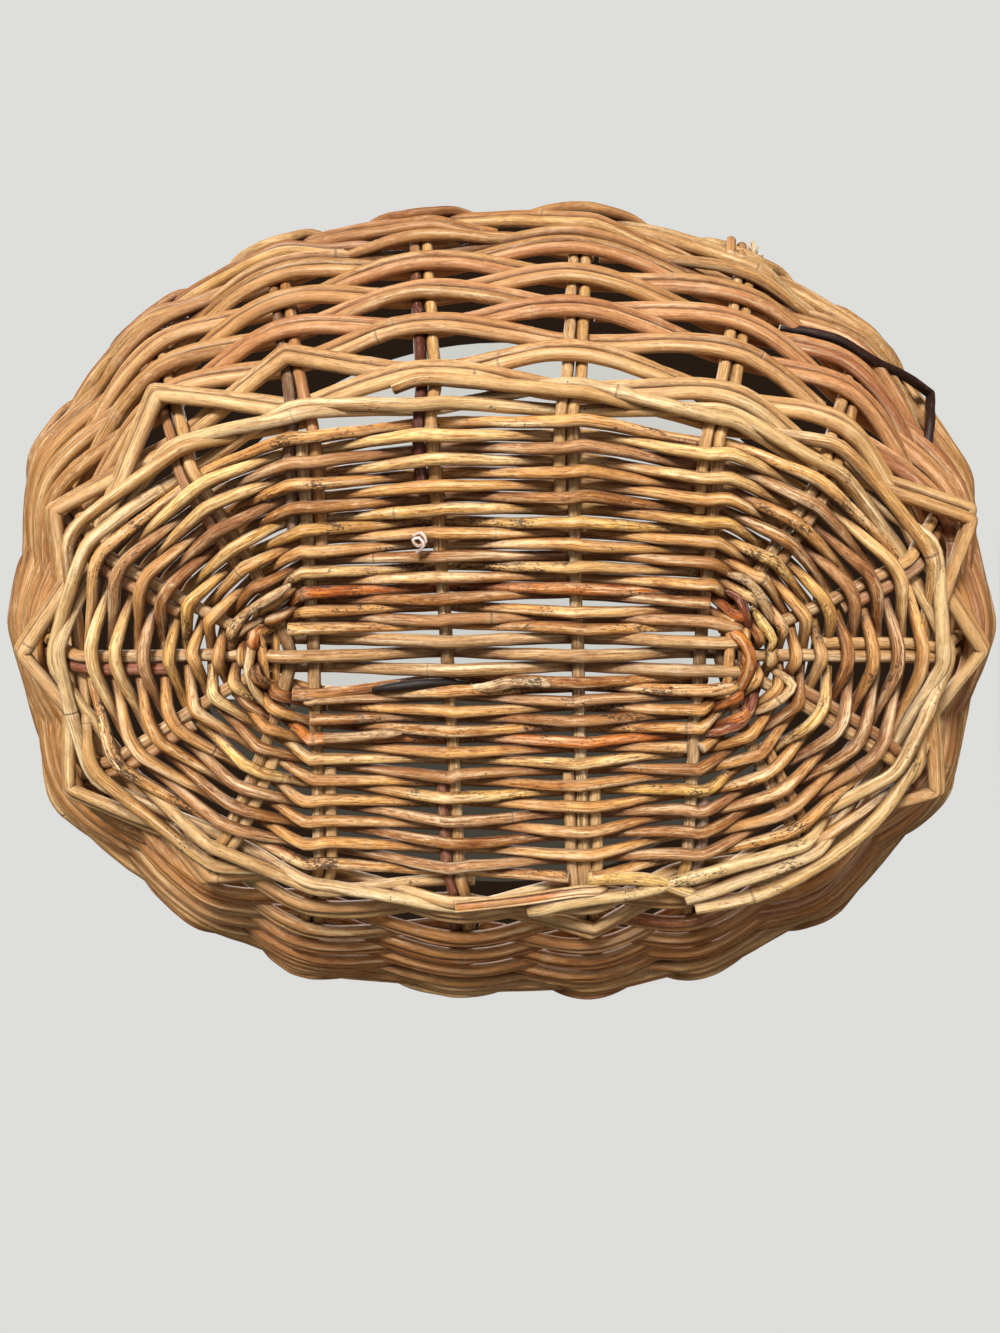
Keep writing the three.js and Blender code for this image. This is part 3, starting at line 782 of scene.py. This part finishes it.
for tint, radius, dirt, specks, places in BY_EYE.values():
    taper = (9, 9) if radius < THIN else (0, 0)
    base_rods.append(make_rod(by_eye(places), radius, tint, dirt, specks, taper, nodes=(60, 120)))
# A bit of white thread, tied round a strand.
THREAD = [(414, 536, 1.6), (421, 533, 2.1), (426, 541, 2.2), (418, 546, 2.2), (413, 540, 2.2),
          (419, 538, 2.4), (424, 545, 2.3), (417, 552, 1.9)]
base_rods.append(make_rod(by_eye(THREAD), 0.75, "#EAD8D0", 0, 0, wobble=0.1))
lay("base_weave", base_rods, "base_weaver", *names_of("base_weaver"))

# %% [markdown]
# ## The rods round the foot
#
# Three pale rods lock the edge of the base. Each passes outside two spokes and inside the
# third, and comes out below the one before it, so the row looks like a laid rope.

# %% Lay the foot rods
# Where each rod's open end lies, as a pixel, and whether it is the end or the start of the rod.
WALE_JOINTS = [((700, 898), True), ((841, 858), True), ((317, 379), False)]


def open_ring(ring, pixel, ends):
    """Cut a ring where it shows at a pixel, and hide its other end inside the next spoke."""
    at = np.array(seen_on_base(*pixel, 1))
    near = np.linalg.norm(ring[:, :2] - at[:2], axis=1) + 100 * (ring[:, 3] < 0.5)
    ring = np.roll(ring, -int(np.argmin(near)), axis=0)
    if not ends:
        return ring[: np.flatnonzero(ring[:, 3] < -0.9)[-1]]
    ring = np.roll(ring, -1, axis=0)
    return ring[np.flatnonzero(ring[:, 3] < -0.9)[0] :]


WALE_TINTS = ["#C09B66", "#CBAC7C", "#B98C52"]
WALE_RISES = [3.0, 5.5, 0.5]  # how far up a rod lies as it passes inside, and outside twice
WALE_SHIFT = 2.2  # from one rod up to the next
WALE_HALF = 5.5  # half of what a rod bends round

wale_rods = []
for rod in range(3):
    controls = []
    for index, spoke in enumerate(spokes):
        turn = (index + rod) % 3
        side = -1 if turn == 0 else 1
        rise = WALE_RISES[turn] + (rod - 1) * WALE_SHIFT
        for sideways in (-WALE_HALF, WALE_HALF):
            point = on_wall(spoke["angle"], sideways, rise, side * WALE_STEP)
            controls.append([*point, side])
    ring = open_ring(bend(controls, 0.9, closed=True), *WALE_JOINTS[rod])
    wale_rods.append(make_rod(ring, WALE, WALE_TINTS[rod], 0.45, 0.6))
# Four more pieces lie over the back of the foot, which is the lower edge of the picture.
WALE_PIECES = [
    ("#D2AC62", [(590, 884, 1.9), (622, 883, 1.9), (657, 885, 1.6), (694, 893, 0.6)]),
    ("#CDAF78", [
        (530, 911, 0.5), (560, 907, 1.4), (600, 903, 1.9), (640, 898, 2.0), (680, 888, 2.1),
        (712, 880, 2.2), (744, 870, 2.1), (776, 859, 1.7), (800, 848, 1.2), (814, 836, 0.2),
        (824, 820, -0.9)]),
    ("#CDB283", [
        (688, 904, 1.9), (716, 897, 2.0), (746, 885, 1.9), (780, 871, 1.6), (812, 856, 1.1),
        (828, 840, 0.3), (840, 820, -0.9)]),
    ("#C8A468", [
        (696, 908, 0.9), (730, 906, 1.6), (762, 898, 1.7), (798, 882, 1.6), (832, 859, 1.3),
        (862, 833, 1.0), (889, 804, 0.7), (909, 772, 0.2), (924, 744, -0.9)]),
]
for tint, places in WALE_PIECES:
    wale_rods.append(make_rod(by_eye(places), WALE + 0.2, tint, 0.45, 0.8, nodes=(90, 140)))
# A split cane: its orange pith shows between two edges of pale skin.
CANE = [(456, 911), (520, 904), (580, 895), (604, 888)]
CANE_PARTS = [("#B86A28", 2.3, 0, 1.9), ("#C9A26C", 0.6, -4.6, 2.1), ("#C9A26C", 0.6, 4.6, 2.1)]
for tint, radius, aside, layer in CANE_PARTS:
    layers = [layer, layer, layer, layer - 1.2]  # its last end goes under
    places = [(x, y + aside, level) for (x, y), level in zip(CANE, layers)]
    wale_rods.append(make_rod(by_eye(places), radius, tint, 0.3, 0.1, wobble=0.05, nodes=RARE_NODES))
print("the foot rods end at the pixels", [pixel for pixel, _ in WALE_JOINTS])
lay("foot_wale", wale_rods, "wale", *names_of("foot_wale"))

# %% [markdown]
# ## The side
#
# The side is woven with two rods at a time, outside one pair of stakes and inside the next.
# The first rows are of pale rods and kink at the stakes, the later ones are warm tan.

# %% Weave the side
# Spokes where the first two rows broke as they were bent: how far they stand out and up there.
KINKS = {0: (7, 22), 1: (2, 10), 6: (11, 20), 7: (8, 9), 8: (10, 13), 11: (2, 5), 14: (3, 7),
         15: (7, 7), 16: (9, 7), 17: (4, 7)}
UNDER_BORDER = 116.0  # up the slanted side, to the two single rods
RIGHT_FROM, BACK_FROM = 40, 90  # past this x, and this y, the rods have the tints of that part
PALE_TINTS = ["#C09A64", "#C8A470", "#B98E58"]
LEFT_TINTS = ["#B28650", "#A67A46", "#BE925F", "#AC7E4A"]
RIGHT_TINTS = ["#A46E44", "#B88454", "#985F3A", "#AE784A"]
# The back side's tints are darker and browner than the left side's: painted shade on that side.
BACK_SIDE_SHADED_TINTS = ["#A46C38", "#B27A42", "#9A6232", "#AA763E"]


def side_row(row, place):
    """One rod of a side row, as a ring: outside one pair of stakes and inside the next."""
    controls, eases = [], []
    for index, spoke in enumerate(spokes):
        side = 1 if (index + row) % 2 == 0 else -1
        kinked = row < 2 and index in KINKS
        bulge, lift = KINKS[index] if kinked and side > 0 else (0, 0)
        up = (place - 0.5) * (2 * SIDE + 0.25) + rng.normal(0, 0.35) + lift
        out = side * SIDE_STEP + bulge
        point = on_wall(spoke["angle"], rng.normal(0, 0.8), SIDE_RISES[row], out, up)
        controls.append([*point, side])
        eases.append(0.1 if kinked else 1.0)
    return bend(controls, eases, closed=True)


def joined(ring, starts):
    """Cut a ring into rods whose ends lie inside, near the given shares of the way round."""
    hidden = np.flatnonzero(ring[:, 3] < -0.9)
    cuts = sorted({int(hidden[np.argmin(np.abs(hidden - start * len(ring)))]) for start in starts})
    for first, last in zip(cuts, [*cuts[1:], cuts[0] + len(ring)]):
        yield ring[np.arange(first, last) % len(ring)]


# A dark rod that broke where it turns round the end: pixels, with how far it stands out.
DARK_ROW, TOP_ROW = 5, len(SIDE_RISES) - 1
DARK_ROD = [
    [(780, 326, 0), (825, 349, 6.5), (862, 370, 7), (895, 388, 7.5), (916, 403, 8)],
    [(916, 404, 8), (917, 428, 7), (926, 452, 0)],
]
for row in range(len(SIDE_RISES)):
    rods = []
    for place in (0, 1):
        ring = side_row(row, place)
        for part in joined(ring, rng.uniform(0, 0.33) + np.array([0, 0.33, 0.6])):
            middle = part[len(part) // 2]
            tints = RIGHT_TINTS if middle[0] > RIGHT_FROM else LEFT_TINTS
            if row < 2:
                tints = PALE_TINTS
            # The rods of the back side take the tints with painted shade.
            elif middle[1] > BACK_FROM:
                tints = BACK_SIDE_SHADED_TINTS
            tint = tints[rng.integers(len(tints))]
            dirt, specks = rng.uniform(0.2, 0.6), rng.uniform(0.1, 0.5)
            rods.append(make_rod(part, SIDE, tint, dirt, specks))
    if row == TOP_ROW:
        # Two single rods, one outside where the other is inside, close the gap under the border.
        for first_side in (-1, 1):
            controls = []
            for index, spoke in enumerate(spokes):
                side = first_side if index % 2 == 0 else -first_side
                point = on_wall(spoke["angle"], 0.0, UNDER_BORDER, side * SIDE_STEP)
                controls.append([*point, side])
            ring = bend(controls, 1.0, closed=True)
            rods.append(make_rod(next(joined(ring, [0.2])), SIDE, LEFT_TINTS[first_side], 0.4, 0.3))
    if row == DARK_ROW:
        for places in DARK_ROD:
            line = by_eye(places, seen_on_side, 0.6)
            rods.append(make_rod(line, 2.3, "#2E1810", 0.1, 0.1, nodes=RARE_NODES))
    lay(f"side_row_{row + 1}", rods, "side_rod", *names_of(f"side_rod_{row + 1}_"))

# %% [markdown]
# ## The stakes and the border
#
# The stakes are cut on a slant and pushed in beside the sticks, one on either side. They
# turn up at the foot, close into a pair and carry the side. At the rim each pair is bent
# down along it, outside the next pair, and its ends are tucked in behind.

# %% Turn up the stakes and lay down the border
UPPER_RUN = -2 * STAKE - 0.1
LOWER_RUN = UPPER_RUN - 4 * STAKE - 0.7
BORDER_BEND = 9.0
STAKE_TINTS = ["#B08049", "#A6723F", "#BA905A", "#946238", "#BF9862", "#A67A4A"]


def between(index, share, out, up):
    """A place near the rim, a share of the way from one spoke to the next."""
    start = spokes[index % 18]["angle"]
    turn = (spokes[(index + 1) % 18]["angle"] - start) % (2 * math.pi)
    return on_wall(start + turn * share, 0.0, SLANT, out, up)


def up_the_wall(spoke, apart):
    """The stretch of a stake from the foot to the bend under the rim."""
    angle = spoke["angle"]
    points = [on_wall(angle, apart, rise) for rise in (CORNER + 2, 0.36 * SLANT, 0.64 * SLANT)]
    radius = BORDER_BEND - apart
    for turned in (0, 45, 90):
        sideways = BORDER_BEND - radius * math.cos(math.radians(turned))
        up = UPPER_RUN - BORDER_BEND + radius * math.sin(math.radians(turned))
        points.append(on_wall(angle, sideways, SLANT, 0.0, up))
    return points


def along_the_rim(index, apart, long_tail):
    """Down along the rim, outside the next pair, and in behind the one after."""
    following, second = spokes[(index + 1) % 18]["angle"], spokes[(index + 2) % 18]["angle"]
    down, tucked = LOWER_RUN - apart, LOWER_RUN + 1.5 - apart
    points = [between(index, 0.52, 0.6, UPPER_RUN - apart)]
    for sideways in (-7, 7):
        points.append(on_wall(following, sideways, SLANT, 2 * STAKE + 0.3, down))
    points.append(between(index + 1, 0.34, 0.0, down))
    if not long_tail:
        return [*points, between(index + 1, 0.48, -STAKE, down)]
    points.append(between(index + 1, 0.6, -STAKE - 0.5, tucked))
    points.append(on_wall(second, 0, SLANT, -2 * STAKE - 0.4, tucked))
    return [*points, between(index + 2, 0.25, -2 * STAKE, tucked)]


BRUSH_AT = 4  # the spoke where two stake ends stand up past the border
# On which side of its stick each stake went in, seen from the middle; 0 stands for both sides.
STAKE_SIDES = [-1, 0, -1, -1, -1, 1, 1, -1, -1, -1, -1, 0, 1, -1, -1, -1, -1, -1]
# The rod that arches over each pair: how far it starts inside, stands out and lies under the rim.
ARCH_IN, ARCH_OUT, ARCH_UP = -2 * STAKE - 0.6, 6.8, -7.6
ARCH_STEP = 0.7  # one step of the list below, both out and up
ARCH_LIFT = [-2, 0, 0, 1, -1, -2, -1, 0, 0, 0, 0, 0, 0, 0, 0, 1, 0, 0]
DARK_STAKES = {1: "#6E5038", 2: "#562C1E", 12: "#7E4A34", 16: "#8A4E34", 10: "#8C7464"}
for index, spoke in enumerate(spokes):
    pair = []
    side = STAKE_SIDES[index]
    for apart in (side or 1, -(side or 1)):
        if apart == side or side == 0:
            reach = STAKE_REACH + rng.uniform(-8, 14)
            beside, insets = apart * (STICK + STAKE + 0.15), (reach, reach * 0.6, 13.0)
            points = [on_base(beside_spoke(spoke, inset, beside)) for inset in insets]
            points.append(on_wall(spoke["angle"], apart * 4.2, 0.0))
            tint = STAKE_TINTS[rng.integers(6)]
        else:
            # The stick itself is turned up here.
            points = [on_base(beside_spoke(spoke, inset)) for inset in (10.0, 5.0)]
            points.append(on_wall(spoke["angle"], -side * 0.8, 0.5))
            tint = "#BE9358"
        if apart == (side or -1) and index in DARK_STAKES:
            tint = DARK_STAKES[index]
        offset = apart * (STAKE + 0.1)
        points += up_the_wall(spoke, offset) + along_the_rim(index, offset, rng.uniform() < 0.8)
        rod = make_rod(bend(points, 0.9), STAKE, tint, rng.uniform(0.2, 0.6), 0.3)
        if tint in DARK_STAKES.values():
            rod["far_tint"] = STAKE_TINTS[1]
        pair.append(rod)
    lift = ARCH_STEP * ARCH_LIFT[index]
    arch = [between(index - 1, 0.5, ARCH_IN, -4.0), between(index - 1, 0.74, 1.4, 0.8)]
    for sideways in (-5, 5):
        arch.append(on_wall(spoke["angle"], sideways, SLANT, ARCH_OUT + lift, ARCH_UP + lift))
    arch += [between(index, 0.28, 1.4, 0.8), between(index, 0.5, ARCH_IN, -4.0)]
    pair.append(make_rod(bend(arch, 0.85), STAKE, STAKE_TINTS[rng.integers(6)], 0.5, 0.3))
    if index == BRUSH_AT:
        # Two stake ends left standing, and one that has split into a brush.
        for sideways, rise in ((-11.0, 1.5), (-5.2, 0.5)):
            stub = [on_wall(spoke["angle"], sideways, SLANT, 6.0, up) for up in (-16.0, -6.0, rise)]
            pair.append(make_rod(bend(stub), STAKE, "#BC8C58", 0.4, 0.2, nodes=RARE_NODES))
        for _ in range(14):
            lean, outwards = rng.uniform(-4, 5.5), rng.uniform(-2, 3)
            hair = [on_wall(spoke["angle"], 2.0 + lean * share, SLANT, 6.0 + outwards * share, up)
                    for share, up in ((0.2, -9.0), (0.4, -2.0), (1.0, rng.uniform(3, 7)))]
            pair.append(make_rod(bend(hair), 0.55, "#D8C098", 0.1, 0.1, wobble=0.3, nodes=RARE_NODES))
    lay(f"stakes_{index + 1:02d}", pair, "stake", *names_of(f"stake_pair_{index + 1:02d}"))

# %% [markdown]
# ## Floor, light and camera
#
# The photograph looks at the underside from close by. The floor shows only from above, so
# that it never hides the base. The light is soft, from above and from the camera's side.

# %% Stage
scene = bpy.context.scene
scene.view_settings.view_transform = "Standard"


def one_sided(name, colour, plain=False):
    """A paint that only the camera sees, and only from the face's own side: lit, or plain."""
    material = bpy.data.materials.new(name)
    tree = empty_tree(material)
    facing = add_node(tree, "ShaderNodeNewGeometry").outputs["Backfacing"]
    seen = add_node(tree, "ShaderNodeLightPath").outputs["Is Camera Ray"]
    front = add_node(tree, "ShaderNodeMath", {0: 1.0, 1: facing}, operation="SUBTRACT").outputs[0]
    shown = add_node(tree, "ShaderNodeMath", {0: seen, 1: front}, operation="MULTIPLY").outputs[0]
    clear = add_node(tree, "ShaderNodeBsdfTransparent")
    kind = "ShaderNodeEmission" if plain else "ShaderNodeBsdfDiffuse"
    matt = add_node(tree, kind, {"Color": paint(colour)})
    mix = add_node(tree, "ShaderNodeMixShader", {0: shown, 1: clear.outputs[0], 2: matt.outputs[0]})
    add_node(tree, "ShaderNodeOutputMaterial", {"Surface": mix.outputs[0]})
    return material


def stage_card(name, shape, material, height, facing):
    """Stage a flat card at a height, which faces up or down."""
    card = bmesh.new()
    shape(card)
    bmesh.ops.translate(card, vec=(0, 0, height), verts=card.verts)
    bmesh.ops.recalc_face_normals(card, faces=card.faces)
    wrong = [face for face in card.faces if face.normal.z * facing < 0]
    bmesh.ops.reverse_faces(card, faces=wrong)
    mesh = bpy.data.meshes.new(name)
    card.to_mesh(mesh)
    card.free()
    mesh.materials.append(material)
    put(name, mesh)


def ellipse(card, half, filled=True):
    made = bmesh.ops.create_circle(card, cap_ends=filled, segments=96, radius=1)["verts"]
    bmesh.ops.scale(card, vec=(*half, 1), verts=made)
    return made


floor_paint = one_sided("pale_floor", "#DAD8D3")
stage_card("floor", lambda card: ellipse(card, (9, 9)), floor_paint, 0, 1)

# Between this oval and the stakes, a dark ring of painted shadow fills the mouth.
CLEAR = (0.168, 0.146)  # inside this oval it is the pale wall or the grey floor that shows
BACKDROP_HEIGHT = 0.112
BACKDROP_INSET = 2.5  # mm that the backdrop stays inside the middle of the stakes
HORIZON = 0.041  # wall on the -Y side of this line, floor on the other


def backdrop(name, colour, shape):
    """A card in the mouth, which the camera sees only from below."""
    stage_card(name, shape, one_sided(name, colour, plain=True), BACKDROP_HEIGHT, -1)


def part_oval(card, side):
    """The part of the clear oval on one side of the horizon."""
    ellipse(card, CLEAR)
    everything = [*card.verts, *card.edges, *card.faces]
    cut = {"plane_co": (0, HORIZON, 0), "plane_no": (0, side, 0), "clear_inner": True}
    bmesh.ops.bisect_plane(card, geom=everything, **cut)


def oval_ring(card):
    """The rest of the mouth, out to the stakes."""
    ellipse(card, CLEAR, False)
    rise = (BACKDROP_HEIGHT * 1000 - EDGE_HEIGHT) / (HEIGHT - EDGE_HEIGHT) * SLANT
    for vert in ellipse(card, (1, 1), False):
        mouth = on_wall(math.atan2(vert.co.y, vert.co.x), 0.0, rise, -BACKDROP_INSET)
        vert.co.xy = mouth[:2] / 1000
    bmesh.ops.bridge_loops(card, edges=card.edges)


# The dark ring is painted shadow: the shade that the rim casts on the wall behind the mouth.
backdrop("painted_rim_shadow", "#261C14", oval_ring)
backdrop("pale_wall", "#CFCFC9", lambda card: part_oval(card, -1))
# The grey floor card is dim: the floor's own grey together with painted shade from the basket over it.
backdrop("grey_floor_in_shade", "#45423A", lambda card: part_oval(card, 1))

world = bpy.data.worlds.new("studio")
scene.world = world
tree = empty_tree(world)
camera_ray = add_node(tree, "ShaderNodeLightPath").outputs["Is Camera Ray"]
seen = add_node(tree, "ShaderNodeBackground", {"Color": paint("#DEDEDB"), "Strength": 1.0})
lit = add_node(tree, "ShaderNodeBackground", {"Color": paint("#FFEFDA"), "Strength": 0.13})
mix = add_node(tree, "ShaderNodeMixShader", {0: camera_ray, 1: lit.outputs[0], 2: seen.outputs[0]})
add_node(tree, "ShaderNodeOutputWorld", {"Surface": mix.outputs[0]})


AIM = Vector((0, 0, 0.05))  # the middle of the basket


def soft_light(name, at, size, watts):
    lamp = bpy.data.lights.new(name, "AREA")
    lamp.size = size
    lamp.energy = watts
    stand = put(name, lamp)
    stand.location = at
    stand.rotation_euler = (Vector(at) - AIM).to_track_quat("Z", "Y").to_euler()


# The first two light the underside, which the photograph shows, and the last the inside.
soft_light("key_low", (-0.38, -1.18, -1.44), 0.42, 73)
soft_light("fill_low", (0.6, -0.2, -1.6), 1.4, 10)
soft_light("key_high", (-0.6, -0.6, 1.8), 1.4, 48)

PICTURE = (1000, 1333)  # pixels across and down
lens = bpy.data.cameras.new("photo_camera")
lens.lens = 27  # over 36 mm of film, it is a focal length of 1000 pixels
lens.sensor_width = 36
lens.clip_start = 0.01
lens.shift_x = (PICTURE[0] / 2 - CENTRE[0]) / PICTURE[1]
lens.shift_y = (CENTRE[1] - PICTURE[1] / 2) / PICTURE[1]
reach = DISTANCE / 1000
camera = put("photo_camera", lens)
camera.matrix_world = Matrix((
    (1, 0, 0, 0),
    (0, -COS, -SIN, -reach * SIN),
    (0, SIN, -COS, -reach * COS),
    (0, 0, 0, 1),
))
scene.camera = camera
